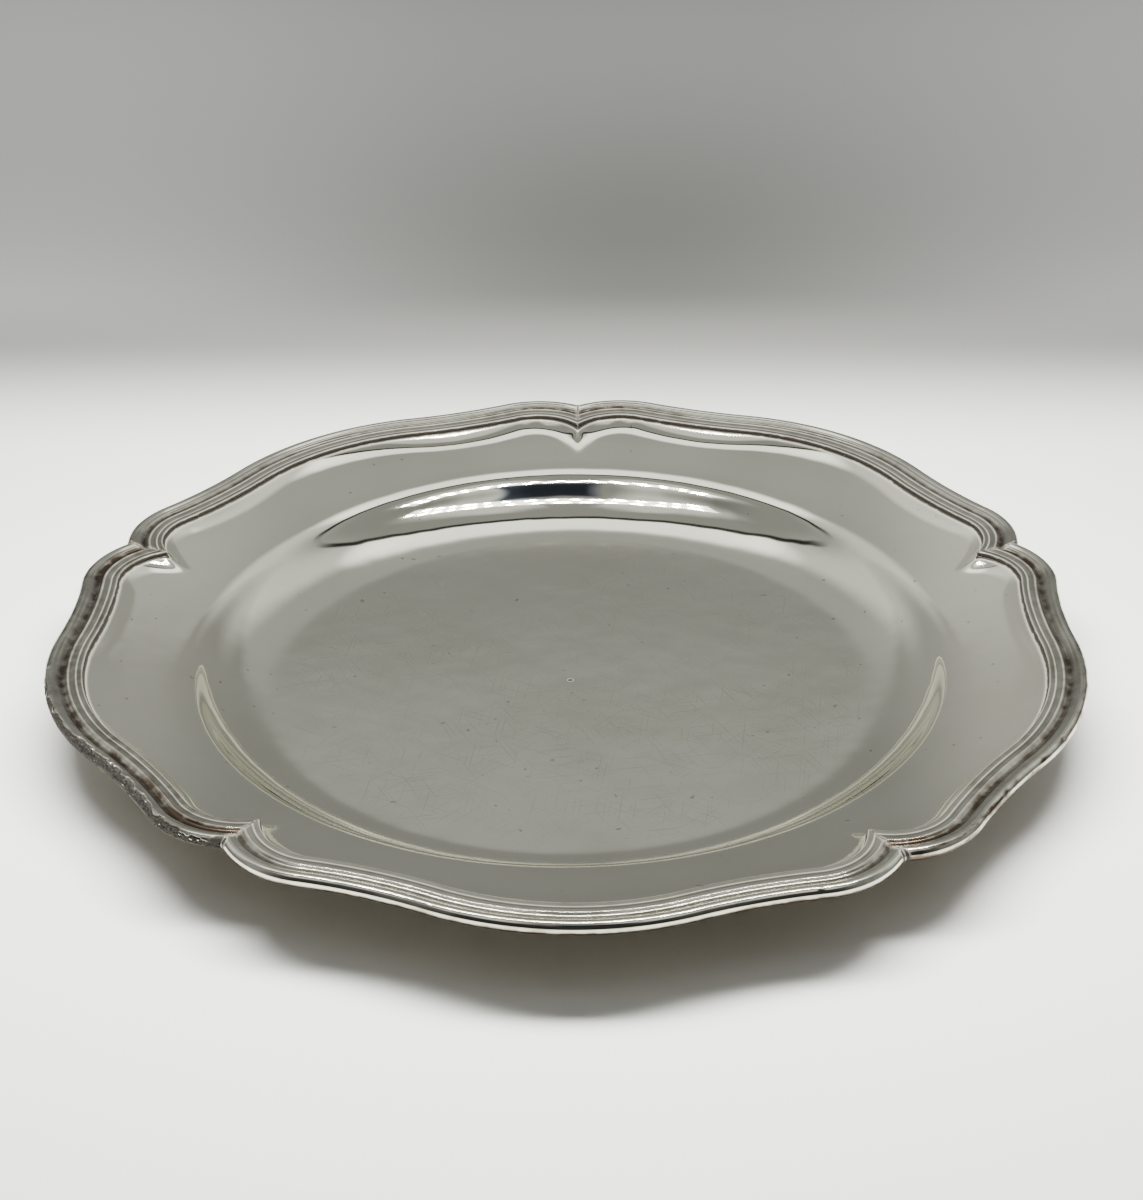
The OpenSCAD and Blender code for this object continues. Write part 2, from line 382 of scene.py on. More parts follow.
SECTION = resampled(moulding_section(), SECTION_STEP, EDGE_SOFTNESS)
SECTION_X, SECTION_Z = SECTION.T
NORMALS = section_normals(SECTION)
ALONG = np.concatenate([[0], np.cumsum(np.linalg.norm(np.diff(SECTION, axis=0), axis=1))])
FROM_LIP = ALONG[-1] - ALONG
FROM_CHANNEL = ALONG - ALONG[np.argmin(np.abs(SECTION_X - CHANNEL[0]))]


# ---------------------------------------------------------------- hand work and noise
def waves(terms, theta):
    """Sum of slow waves round the rim, each given as (how many, height in mm, phase)."""
    return sum(height * np.cos(np.radians(n * theta - phase)) for n, height, phase in terms)


def as_made(r, theta, z):
    """Points in millimetres where the smith's work really lies, from radius, angle and height."""
    share = smooth(r, *WANDERS)
    radius = SHRINK * (r + share * waves(OUT_OF_ROUND, theta))
    turned = np.radians(theta + NOTCH) + share * waves(SLID_ROUND, theta) / RIM_R
    height = SHRINK * z + share * (waves(WARPED, theta) - RIM_DROP)
    return np.stack([radius * np.cos(turned), radius * np.sin(turned), height], -1)


def value_noise(u, v, seed, cells=256):
    """Smooth noise from 0 to 1 over the plane, with one random value on each whole number."""
    table = np.random.default_rng(seed).random((cells, cells))
    iu, iv = np.floor(u).astype(int), np.floor(v).astype(int)
    fu, fv = smooth(u - iu, 0, 1), smooth(v - iv, 0, 1)
    corner = [[table[(iu + i) % cells, (iv + j) % cells] for j in (0, 1)] for i in (0, 1)]
    near = corner[0][0] * (1 - fv) + corner[0][1] * fv
    far = corner[1][0] * (1 - fv) + corner[1][1] * fv
    return near * (1 - fu) + far * fu


def layered_noise(u, v, seed, layers=3):
    """Value noise over several sizes, from 0 to 1."""
    summed = sum(0.5 ** i * value_noise(u * 2 ** i, v * 2 ** i, seed + i) for i in range(layers))
    return summed / sum(0.5 ** i for i in range(layers))


def mottled(theta, grain, layers=3, more_seed=0):
    """Noise over the moulding's section along the rim, for a grain of (size along, size across, seed)."""
    long, wide, seed = grain
    u, v = np.meshgrid(along_rim(theta) / long, FROM_LIP / wide, indexing="ij")
    return layered_noise(u, v, seed + more_seed, layers)


def lobe_angles(half_count, crowding=0.8):
    """Angles over one lobe from mitre to mitre, crowded towards the mitres."""
    u = np.linspace(0, 1, half_count + 1)
    a = HALF * ((1 - crowding) * u + crowding * np.sin(u * math.pi / 2))
    return np.concatenate([HALF - a[::-1], HALF + a[1:]])


def gapped_angles(half_count):
    """Angles over one lobe that stop short of the mitres, to leave room for the solder."""
    theta = lobe_angles(half_count)
    theta[0] += MITRE_GAP
    theta[-1] -= MITRE_GAP
    return theta


# ---------------------------------------------------------------- meshes
def grid_object(name, grids, ring, values=None):
    """Shells over grids of points, each rows x columns x 3 in millimetres, with the columns always closed.

    The rows are closed too if `ring`, and else the two end loops are capped.
    """
    quads, first = [], 0
    for points in grids:
        rows, columns = points.shape[:2]
        index = first + np.arange(rows * columns).reshape(rows, columns)
        first += rows * columns
        if ring:
            index = np.concatenate([index, index[:1]])
        else:
            quads += [index[0, ::-1].tolist(), index[-1].tolist()]
        a, b = index[:-1], index[1:]
        quads += np.stack([a, b, np.roll(b, -1, 1), np.roll(a, -1, 1)], -1).reshape(-1, 4).tolist()
    mesh = bpy.data.meshes.new(name)
    mesh.from_pydata((np.concatenate([p.reshape(-1, 3) for p in grids]) * MM).tolist(), [], quads)
    mesh.polygons.foreach_set("use_smooth", [True] * len(mesh.polygons))
    for key, field in (values or {}).items():
        made = mesh.attributes.new(key, "FLOAT", "POINT")
        made.data.foreach_set("value", field.astype(np.float32).ravel())
    mesh.update()
    piece = bpy.data.objects.new(name, mesh)
    bpy.context.scene.collection.objects.link(piece)
    return piece


def fitted(piece, node, slot):
    """Put a piece in place of a CAD node, with the finish of its material slot."""
    piece.data.materials.append(FINISHES[slot])
    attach(piece, "root")
    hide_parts(node)


def plate_body():
    """The raised sheet: floor, wall, flange, cove and ledge, with its underside."""
    theta = np.concatenate([lobe_angles(SHEET_COLUMNS)[:-1] + 2 * HALF * k for k in range(LOBES)])
    well = np.concatenate([PUNCH_ROWS, np.arange(*FLOOR_ROWS), np.arange(*WALL_ROWS)])
    seam_r = line_r(np.full_like(theta, SEAM), theta, MITRE_SOFTNESS)[:, None]
    edge_r = line_r(np.full_like(theta, LEDGE_EDGE), theta, MITRE_SOFTNESS)[:, None]
    cove = well[-1] + (seam_r - well[-1]) * np.linspace(0, 1, COVE_ROWS)[1:]
    turn = theta[:, None]
    r = np.concatenate([np.tile(well, (len(theta), 1)), cove], 1)
    clean_z = sheet_height(r, turn + 0 * r)
    slant = np.arctan(np.gradient(clean_z, axis=1) / np.gradient(r, axis=1))
    z = clean_z - PUNCH_DEPTH * np.maximum(0, 1 - (r / PUNCH_R) ** 2)
    ledge_r = seam_r + (edge_r - seam_r) * np.array(LEDGE_ROWS)
    ledge_z = np.full_like(ledge_r, LEDGE_Z)
    under_r = (r + SHEET * np.sin(slant))[:, ::-UNDER_STRIDE]
    under_z = (clean_z - SHEET * np.cos(slant))[:, ::-UNDER_STRIDE]
    keep = under_r < edge_r - UNDER_TRIM
    under_r = np.minimum(under_r, edge_r - UNDER_TRIM)
    under_z = np.maximum(np.where(keep, under_z, LEDGE_Z - SHEET), 0)
    full_r = np.concatenate([r, ledge_r, edge_r, under_r], 1)
    full_z = np.concatenate([z, ledge_z, np.full_like(edge_r, LEDGE_Z - SHEET), under_z], 1)
    below = np.arange(full_r.shape[1]) >= r.shape[1] + ledge_r.shape[1]
    grime = SHEET_SEAM * bell(full_r - seam_r, SHEET_SEAM_W) + PUNCH_DIRT * (full_r < PUNCH_DIRT_R)
    # the sheet's underside gets brown tarnish that is also painted shade
    fields = {"grime": np.where(below, 0, grime), "tarnish_and_shade": np.where(below, UNDERSIDE_TARNISH_AND_SHADE, 0 * grime)}
    return grid_object("silver_body", [as_made(full_r, turn + 0 * full_r, full_z)], True, fields)


def swept(face, back, theta):
    """Points of a closed section carried along the rim: a face that varies on the way, and a plain back."""
    loop = np.concatenate([face, np.tile(back, (len(theta), 1, 1))], 1)
    turn = theta[:, None] + 0 * loop[..., 0]
    r = line_r(loop[..., 0], turn, MITRE_SOFTNESS)
    return as_made(r, turn, RIM_Z + loop[..., 1])


def wear(theta):
    """How far the silver is worn away, 0 to 1, over the worn lobe's section."""
    reach = np.interp(theta, WORN_ANGLES, WORN_REACH)[:, None]
    ragged = reach * (WORN_LEAST + WORN_VARIES * mottled(theta, RAGGED, 4))
    flakes = mottled(theta, FLAKES) - 0.5
    upper = smooth(ragged - FROM_LIP + FLAKED_TOP * flakes, -TOP_EDGE, TOP_EDGE)
    lower = smooth(FROM_LIP - WORN_FOOT + FLAKED_FOOT * flakes, -FOOT_EDGE, FOOT_EDGE)
    return upper * lower * (reach > LEAST_REACH)


def dents(k, theta):
    """Depth of the small nicks and pits on lobe k, in millimetres."""
    depth = np.zeros((len(theta), len(SECTION)))
    underneath = np.where(SECTION_Z < UPPER_SIDE, np.inf, 0)
    for lobe, angle, x, size, deep in NICKS:
        if lobe == k:
            spot = np.argmin(np.abs(SECTION_X - x) + underneath)
            u = along_rim(theta - angle)[:, None]
            depth += deep * np.exp(-(u * u + (ALONG - ALONG[spot]) ** 2) / size ** 2)
    return depth


def tarnish_and_shade_on(k, theta, to_mitre, worn):
    """Brown tarnish of lobe k's moulding: in the channel, on the bead's outer side and in thin films; under
    the bead and on the inner bead it is also painted shade.
    """
    middle, width = CHANNEL_STAIN
    at_mitre = IN_CHANNEL_AT_MITRE * bell(to_mitre, MITRE_REACH)
    in_channel = bell(FROM_CHANNEL - middle, width) * (IN_CHANNEL + at_mitre)
    blotches = smooth(mottled(theta, BLOTCHES, more_seed=k), *BLOTCH_LEVELS)
    film = smooth(mottled(theta, FILM, more_seed=k), *FILM_LEVELS)
    outer_side = smooth(SECTION_X, *OUTER_SIDE_X) * blotches
    # under the bead: tarnish that is also painted shade
    under_bead_tarnish_and_shade = smooth(-SECTION_Z, *UNDER_BEAD_Z) * (SECTION_X > UNDER_BEAD_FROM)
    tarnish_and_shade = in_channel * (1 + TARNISHED[k]) / 2
    tarnish_and_shade = tarnish_and_shade + TARNISHED[k] * (ALL_OVER + FILMS * film + OUTER_SIDE * outer_side)
    tarnish_and_shade = tarnish_and_shade + WORN_STAIN * np.clip(WORN_STAIN_RISE * worn, 0, 1)
    return tarnish_and_shade + UNDER_BEAD_TARNISH_AND_SHADE * under_bead_tarnish_and_shade + INNER_BEAD_STAIN_AND_SHADE * (SECTION_X < INNER_BEAD_TO)


def grime_on(k, theta, to_mitre, worn):
    """Dark dirt of lobe k's moulding: in its grooves, at the mitres, at the lip and where it is worn."""
    lines = sum(amount * bell(SECTION_X - x, width) for x, width, amount in DIRT_LINES)
    middle, width = MITRE_DIRT_ACROSS
    in_mitre = bell(to_mitre, MITRE_DIRT_W) * bell(FROM_CHANNEL - middle, width)
    clogged = np.where((theta > HALF) & (k == WORN_LOBE), CLOGGED_MITRE, OTHER_MITRE)[:, None]
    outside_mitre = np.exp(-(to_mitre / clogged) ** 4) * smooth(SECTION_X, *CLOGGED_X)
    grime = lines + MITRE_DIRT * in_mitre + CLOGGED_DIRT * outside_mitre
    return grime + (FROM_LIP < LIP_DIRT_W) + WORN_DIRT * np.clip(WORN_DIRT_RISE * worn, 0, 1)


def rim_moulding(k):
    """Struck silver moulding over lobe k, counted from the +Y notch."""
    theta = gapped_angles(WORN_COLUMNS if k == WORN_LOBE else LOBE_COLUMNS)
    worn = wear(theta) if k == WORN_LOBE else np.zeros((len(theta), len(SECTION)))
    depth = dents(k, theta) + WORN_DEPTH * worn
    face = SECTION - depth[..., None] * NORMALS
    back = (SECTION - SKIN * NORMALS)[::-BACK_STRIDE]
    points = swept(face, back, theta + 2 * HALF * k)
    to_mitre = along_rim(HALF - np.abs(theta - HALF))[:, None]
    clean = np.zeros((len(theta), len(back)))
    fields = {"tarnish_and_shade": np.concatenate([tarnish_and_shade_on(k, theta, to_mitre, worn), clean], 1),
              "grime": np.concatenate([grime_on(k, theta, to_mitre, worn), clean], 1)}
    return grid_object(f"silver_moulding_{k + 1}", [points], False, fields)


def core_loop(inset, stride):
    """Section of what fills the moulding: its top, the top's normals, and the way back along the ledge."""
    top = (SECTION - inset * NORMALS)[::stride]
    above = top[:, 1] > -LEDGE_DROP - SHEET
    top, normals = top[above], NORMALS[::stride][above]
    reached = np.minimum(np.maximum.accumulate(top[:, 0]), LEDGE_EDGE)
    outside = top[:, 0] >= LEDGE_EDGE
    foot_z = np.where(outside, np.clip(top[:, 1], -LEDGE_DROP - SHEET, -LEDGE_DROP), -LEDGE_DROP)
    low = np.stack([np.where(outside, LEDGE_EDGE, reached), foot_z - FILL_GAP], -1)
    return top, normals, low[::-1]


def moulding_filler(k):
    """Soft metal poured behind the moulding over lobe k; it shows where the silver is worn away."""
    worn_here = k == WORN_LOBE
    theta = gapped_angles(WORN_COLUMNS if worn_here else CORE_COLUMNS)
    top, normals, low = core_loop(SKIN, 1 if worn_here else CORE_STRIDE)
    lift = np.zeros((len(theta), len(top)))
    if worn_here:
        grains = np.clip(GRAIN_CONTRAST * mottled(theta, GRAINS) - GRAIN_DROP, 0, 1)
        lift = (wear(theta) * grains)[:, :len(top)] * (SKIN - FILL_CLEARANCE)
    face = top + (lift - FILL_CLEARANCE)[..., None] * normals
    return grid_object(f"metal_filler_{k + 1}", [swept(face, low, theta + 2 * HALF * k)], False)


def mitre_solder():
    """Solder run into the five mitres between the mouldings."""
    top, normals, low = core_loop(0, SOLDER_STRIDE)
    theta = np.linspace(-MITRE_GAP, MITRE_GAP, SOLDER_COLUMNS)
    bulge = SOLDER_PROUD * (1 - (theta / MITRE_GAP) ** 2)[:, None]
    along = ALONG[::SOLDER_STRIDE][:len(top)]
    u, v = np.meshgrid(LUMPS_TO_DEGREE * theta, along / LUMP_SIZE, indexing="ij")
    seams = []
    for k in range(LOBES):
        lumps = 1 + SOLDER_LUMPS * (layered_noise(u, v, LUMPS_SEED + k) - 0.5)
        face = top + (bulge * lumps)[..., None] * normals
        seams.append(swept(face, low, theta + 2 * HALF * k))
    return grid_object("solder_seams", seams, False)


# ---------------------------------------------------------------- shader helpers
def material(name):
    """New material with its node tree and shader."""
    made = bpy.data.materials.new(name)
    made.use_nodes = True
    return made, made.node_tree, made.node_tree.nodes["Principled BSDF"]


def feed(tree, socket, value):
    """Give a socket a link or a plain value."""
    if isinstance(value, bpy.types.NodeSocket):
        tree.links.new(value, socket)
    else:
        socket.default_value = value


def calc(tree, operation, *operands, clamp=False):
    """Maths node over sockets or numbers."""
    made = tree.nodes.new("ShaderNodeMath")
    made.operation = operation
    made.use_clamp = clamp
    for socket, value in zip(made.inputs, operands):
        feed(tree, socket, value)
    return made.outputs[0]


def times(tree, first, *others, clamp=False):
    """Product of sockets or numbers."""
    for value in others:
        first = calc(tree, "MULTIPLY", first, value, clamp=clamp)
    return first


def plus(tree, first, *others):
    """Sum of sockets or numbers."""
    for value in others:
        first = calc(tree, "ADD", first, value)
    return first


def rest(tree, value):
    """What is left of 1."""
    return calc(tree, "SUBTRACT", 1, value)


def apart(tree, value, middle):
    """How far a value lies from a middle."""
    return calc(tree, "ABSOLUTE", calc(tree, "SUBTRACT", value, middle))


def ramp(tree, value, low, high, start=0, end=1):
    """Smooth step of a value between low and high, from start to end."""
    made = tree.nodes.new("ShaderNodeMapRange")
    made.interpolation_type = "SMOOTHSTEP"
    tree.links.new(value, made.inputs["Value"])
    for key, number in (("From Min", low), ("From Max", high), ("To Min", start), ("To Max", end)):
        made.inputs[key].default_value = number
    return made.outputs["Result"]


def between(tree, value, rise, fall):
    """1 between two soft edges, each given as (from, to), and 0 outside them."""
    return times(tree, ramp(tree, value, *rise), ramp(tree, value, *fall, 1, 0))


def blend(tree, factor, first, second):
    """Mix of two colours, each a colour or a socket."""
    made = tree.nodes.new("ShaderNodeMix")
    made.data_type = "RGBA"
    for key, value in (("Factor", factor), ("A", first), ("B", second)):
        feed(tree, made.inputs[key], value)
    return made.outputs["Result"]


def position(tree):
    """Place in the scene, in metres."""
    return tree.nodes.new("ShaderNodeNewGeometry").outputs["Position"]


def split(tree, vector):
    """The three parts of a vector."""
    made = tree.nodes.new("ShaderNodeSeparateXYZ")
    tree.links.new(vector, made.inputs["Vector"])
    return made.outputs


def from_centre(tree):
    """Distance from the plate's centre."""
    made = tree.nodes.new("ShaderNodeVectorMath")
    made.operation = "LENGTH"
    tree.links.new(position(tree), made.inputs[0])
    return made.outputs["Value"]


def noise(tree, scale, detail=2.0, roughness=0.5, vector=None):
    """Noise over the piece, with `scale` features to the metre."""
    made = tree.nodes.new("ShaderNodeTexNoise")
    made.inputs["Scale"].default_value = scale
    made.inputs["Detail"].default_value = detail
    made.inputs["Roughness"].default_value = roughness
    tree.links.new(vector or position(tree), made.inputs["Vector"])
    return made.outputs["Fac"]


def stretched(tree, angle, across, along, offset):
    """Coordinates turned about Z and squeezed, so that noise over them draws fine strokes."""
    made = tree.nodes.new("ShaderNodeMapping")
    made.vector_type = "TEXTURE"
    tree.links.new(position(tree), made.inputs["Vector"])
    made.inputs["Location"].default_value = (offset, offset * 0.7, 0)
    made.inputs["Rotation"].default_value = (0, 0, math.radians(angle))
    made.inputs["Scale"].default_value = (1 / along, 1 / across, 1 / along)
    return made.outputs["Vector"]


def attribute(tree, name):
    """Value that the mesh carries on its points."""
    made = tree.nodes.new("ShaderNodeAttribute")
    made.attribute_name = name
    return made.outputs["Fac"]


def relief(tree, shader, height, distance):
    """Bump from a height field."""
    made = tree.nodes.new("ShaderNodeBump")
    made.inputs["Distance"].default_value = distance
    tree.links.new(height, made.inputs["Height"])
    tree.links.new(made.outputs["Normal"], shader.inputs["Normal"])


# ---------------------------------------------------------------- materials
SILVER = (0.78, 0.77, 0.65, 1)
CLOUDED_SILVER = (0.71, 0.70, 0.58, 1)
SCRATCHED_SILVER = (0.40, 0.39, 0.32, 1)
BROWN_TARNISH_AND_SHADE = (0.105, 0.075, 0.052, 1)
GRIME = (0.022, 0.019, 0.015, 1)
FILLER_DARK = (0.008, 0.007, 0.006, 1)
FILLER_LIGHT = (0.055, 0.05, 0.04, 1)
SOLDER_DARK = (0.12, 0.09, 0.07, 1)
SOLDER_LIGHT = (0.55, 0.50, 0.45, 1)

# features to the metre
CLOUDS = 22
HAMMERING = 85
TARNISH_MOTTLE = 260
DIRT_MOTTLE = 350
SPECKS = 480
SCRATCH_PATCHES = 16
SCRATCHES_ACROSS = 2400
SCRATCHES_ALONG = 50
SCRATCH_ANGLES = (12, 47, 84, 118, 151)
SCRATCH_OFFSET = 3.1
# levels of each noise between which a mark comes in, and what it goes from and to
CLOUD_LEVELS = (0.35, 0.75)
CLOUD_ROUGH_LEVELS = (0.3, 0.8)
STROKE_LEVELS = (0.715, 0.78)
PATCH_LEVELS = (0.42, 0.62, 0.35, 1)
SPECK_LEVELS = (0.84, 0.87)
TARNISH_LEVELS = (0.25, 0.7, 0.45, 1.0)
DIRT_LEVELS = (0.25, 0.6, 0.75, 1.1)
GRAIN_LEVELS = (0.38, 0.68)
LINE_COLOUR = 0.5
SPECK_COLOUR = 0.8
SCRATCH_DEPTH = 0.045
# roughness that each kind of wear adds
CLOUD_ROUGHNESS = 0.025
SCRATCH_ROUGHNESS = 0.13
TARNISH_ROUGHNESS = 0.16
DIRT_ROUGHNESS = 0.4
SATIN = 0.095
# radii in metres: where the sheet keeps its polish, and where the scratches of the floor end
POLISHED_WALL = ((0.092, 0.099), (0.113, 0.119))
POLISHED_COVE = (0.127, 0.132)
SCRATCHED_FLOOR = (0.078, 0.09)
SCRATCHES_BEYOND = 0.03
# painted light: the sheet is made less metallic on its left and right, so that it shows lighter there; by X
# in metres
PAINTED_LIGHT_LEFT = (-0.125, -0.08, 0.03, 0)
PAINTED_LIGHT_RIGHT = (0.08, 0.125, 0, 0.06)


def scratches(tree):
    """Fine strokes in several directions, from 0 to 1, in patches and mostly on the floor."""
    strokes = 0.0
    for n, angle in enumerate(SCRATCH_ANGLES):
        vector = stretched(tree, angle, SCRATCHES_ACROSS, SCRATCHES_ALONG, SCRATCH_OFFSET * n)
        lines = ramp(tree, noise(tree, 1, 0, vector=vector), *STROKE_LEVELS)
        strokes = calc(tree, "MAXIMUM", strokes, lines)
    on_floor = ramp(tree, from_centre(tree), *SCRATCHED_FLOOR, 1, SCRATCHES_BEYOND)
    patches = ramp(tree, noise(tree, SCRATCH_PATCHES, 1), *PATCH_LEVELS)
    return times(tree, strokes, on_floor, patches)


def handled(tree, colour, rough, height):
    """Colour, roughness and relief of the sheet with its scratches, specks and satin parts."""
    lines = scratches(tree)
    specks = ramp(tree, noise(tree, SPECKS, 0), *SPECK_LEVELS)
    marks = calc(tree, "MAXIMUM", times(tree, lines, LINE_COLOUR), times(tree, specks, SPECK_COLOUR))
    out = from_centre(tree)
    polished = calc(tree, "MAXIMUM", between(tree, out, *POLISHED_WALL), ramp(tree, out, *POLISHED_COVE))
    satin = times(tree, rest(tree, polished), SATIN)
    rough = plus(tree, rough, times(tree, lines, SCRATCH_ROUGHNESS), satin)
    height = calc(tree, "SUBTRACT", height, times(tree, lines, SCRATCH_DEPTH))
    return blend(tree, marks, colour, SCRATCHED_SILVER), rough, height


def silver(name, polish, unevenness, sheet):
    """Worn silver with brown tarnish, in places also painted shade, and dark dirt; the sheet is also
    scratched, and painted lighter on its left and right by being made less metallic there.
    """
    made, tree, shader = material(name)
    cloud = noise(tree, CLOUDS, 3)
    colour = blend(tree, ramp(tree, cloud, *CLOUD_LEVELS), SILVER, CLOUDED_SILVER)
    rough = plus(tree, polish, times(tree, ramp(tree, cloud, *CLOUD_ROUGH_LEVELS), CLOUD_ROUGHNESS))
    height = noise(tree, HAMMERING, 1)
    if sheet:
        colour, rough, height = handled(tree, colour, rough, height)
    mottle = ramp(tree, noise(tree, TARNISH_MOTTLE, 4), *TARNISH_LEVELS)
    # brown tarnish; under the bead, on the inner bead and on the sheet's underside it is also painted shade
    brown = times(tree, attribute(tree, "tarnish_and_shade"), mottle, clamp=True)
    mottle = ramp(tree, noise(tree, DIRT_MOTTLE, 2), *DIRT_LEVELS)
    dirt = times(tree, attribute(tree, "grime"), mottle, clamp=True)
    colour = blend(tree, dirt, blend(tree, brown, colour, BROWN_TARNISH_AND_SHADE), GRIME)
    rough = plus(tree, rough, times(tree, brown, TARNISH_ROUGHNESS), times(tree, dirt, DIRT_ROUGHNESS))
    metallic = rest(tree, dirt)
    if sheet:
        # painted light: less metallic at the sheet's left and right, so these parts show lighter
        x = split(tree, position(tree))["X"]
        painted_side_light = plus(tree, ramp(tree, x, *PAINTED_LIGHT_RIGHT), ramp(tree, x, *PAINTED_LIGHT_LEFT))
        metallic = calc(tree, "SUBTRACT", metallic, painted_side_light, clamp=True)
    tree.links.new(colour, shader.inputs["Base Color"])
    tree.links.new(metallic, shader.inputs["Metallic"])
    tree.links.new(rough, shader.inputs["Roughness"])
    relief(tree, shader, height, unevenness)
    return made


def dull_metal(name, dark, light, metallic, roughness, grain, depth):
    """Soft grainy metal, mottled from dark to light."""
    made, tree, shader = material(name)
    grains = noise(tree, grain, 4, 0.65)
    colour = blend(tree, ramp(tree, grains, *GRAIN_LEVELS), dark, light)
    tree.links.new(colour, shader.inputs["Base Color"])
    shader.inputs["Metallic"].default_value = metallic
    shader.inputs["Roughness"].default_value = roughness
    relief(tree, shader, grains, depth)
    return made


# ---------------------------------------------------------------- build
FINISHES = {
    "raised_silver": silver("fine_raised_silver", 0.035, 0.00009, True),
    "struck_silver": silver("fine_struck_silver", 0.05, 0.00014, False),
    "lead_tin_filler": dull_metal("grainy_filler", FILLER_DARK, FILLER_LIGHT, 0.15, 0.7, 1700, 0.0002),
    "silver_solder": dull_metal("dull_solder", SOLDER_DARK, SOLDER_LIGHT, 0.8, 0.4, 900, 0.0001),
}
fitted(plate_body(), "plate_body", "raised_silver")
for k in range(LOBES):
    fitted(rim_moulding(k), f"rim_moulding_{k + 1}", "struck_silver")
    fitted(moulding_filler(k), f"moulding_filler_{k + 1}", "lead_tin_filler")
fitted(mitre_solder(), "mitre_solder", "silver_solder")

# ---------------------------------------------------------------- floor
# its colours from near to far, as painted shade: beyond the plate the floor is painted darker, most at the
# middle, and far off it pales again
FLOOR_NEAR = (0.80, 0.805, 0.775, 1)
FLOOR_SHADE_FAR = (0.215, 0.215, 0.205, 1)
FLOOR_SHADE_MIDDLE = (0.108, 0.109, 0.103, 1)
FLOOR_SHADE_SIDE = (0.29, 0.29, 0.283, 1)
FLOOR_SHADE_END = (0.39, 0.39, 0.38, 1)
FLOOR_SHADE_CORNER = (0.56, 0.56, 0.55, 1)
FLOOR_RADIUS = 6
FLOOR_SIDES = 128
FLOOR_ROUGHNESS = 0.7
FLOOR_SHINE = 0.2
FLOOR_MIDDLE = 0.02
# where each change begins and ends, in metres: by Y, and by the distance from the middle
TO_FAR = (0.15, 0.256)
TO_DARK = (0.24, 0.31)
TO_END = (0.34, 0.74)
TO_SIDE = (0.0, 0.30)
TO_CORNER = (0.05, 0.35)


def pale_floor():
    """Matt floor, pale near the plate, with painted shade in soft changes of grey behind it."""
    made, tree, shader = material("pale_floor")
    x, y, z = split(tree, position(tree))
    off_middle = apart(tree, x, FLOOR_MIDDLE)
    # painted shade: darker grey beyond the plate, darkest behind its middle, paler again far off
    dark = blend(tree, ramp(tree, off_middle, *TO_SIDE), FLOOR_SHADE_MIDDLE, FLOOR_SHADE_SIDE)
    end = blend(tree, ramp(tree, off_middle, *TO_CORNER), FLOOR_SHADE_END, FLOOR_SHADE_CORNER)
    shade = blend(tree, ramp(tree, y, *TO_FAR), FLOOR_NEAR, FLOOR_SHADE_FAR)
    shade = blend(tree, ramp(tree, y, *TO_DARK), shade, dark)
    shade = blend(tree, ramp(tree, y, *TO_END), shade, end)
    tree.links.new(shade, shader.inputs["Base Color"])
    shader.inputs["Roughness"].default_value = FLOOR_ROUGHNESS
    shader.inputs["Specular IOR Level"].default_value = FLOOR_SHINE
    bpy.ops.mesh.primitive_circle_add(vertices=FLOOR_SIDES, radius=FLOOR_RADIUS, fill_type="NGON")
    floor = bpy.context.object
    floor.name = "floor"
    floor.data.materials.append(made)


pale_floor()

# ---------------------------------------------------------------- room
# the silver mirrors it: heights are in degrees above the horizon, and turns in degrees from +Y
ROOM_COLOUR = (0.985, 1.0, 0.985, 1)
WALL_HEIGHT = (28, 33.5)
WALL_LIGHT = (0.285, 0.475)
SIDE_TURN = ((22, 48), (105, 135))
SIDE_HEIGHT = ((12, 30), (55, 75))
SIDE_ACROSS = (-30, 30)
SIDE_LIGHT = (0.46, 0.52)
BEHIND_TURN = (100, 150)
BEHIND_LIGHT = (0.34, 0.04)
CEILING_HEIGHT = (36, 62)
CEILING_LIGHT = 0.36
WINDOW_TURN = ((95, 112), (148, 162))
WINDOW_HEIGHT = ((50, 60), (76, 84))
WINDOW_LIGHT = 0.6
PERSON_COLOUR = (0.7, 0.85, 1.2, 1)
PERSON_HEIGHT = ((44, 48), (63, 67))
PERSON_BEHIND = (-0.1, 0)
PERSON_DARKNESS = 0.9
# places on a ceiling 1 above the plate
LEAST_HEIGHT = 0.02
BAND_HEIGHT = (52.5, 61)
BAND_REACH = (0.35, 1.6)
BAND_LIGHT = 1.6
PERSON_AT = 0.10
PERSON_REACH = (0.17, 0.24)
SLOT_AT = 0.18
SLOT_WIDTH = (0.018, 0.055)
SLOT_REACH = (0.9, 1.4)
SLOT_DARKNESS = 0.95
# where the part ahead of the camera meets the part behind it, low down and overhead
MEETING = (-0.05, 0.40)
MEETING_OVERHEAD = (SLOT_AT - 0.03, SLOT_AT + 0.03)
OVERHEAD = (40, 60)


def room_ahead(tree, high, turn, across):
    """Light of the room beyond the plate: a grey wall, paler sides and a bright band overhead."""
    wall = ramp(tree, high, *WALL_HEIGHT, *WALL_LIGHT)
    band = times(tree, ramp(tree, high, *BAND_HEIGHT), ramp(tree, across, *BAND_REACH, BAND_LIGHT, 0))
    sides = times(tree, between(tree, calc(tree, "ABSOLUTE", turn), *SIDE_TURN),
                  between(tree, high, *SIDE_HEIGHT), ramp(tree, turn, *SIDE_ACROSS, *SIDE_LIGHT))
    return plus(tree, wall, band, sides)


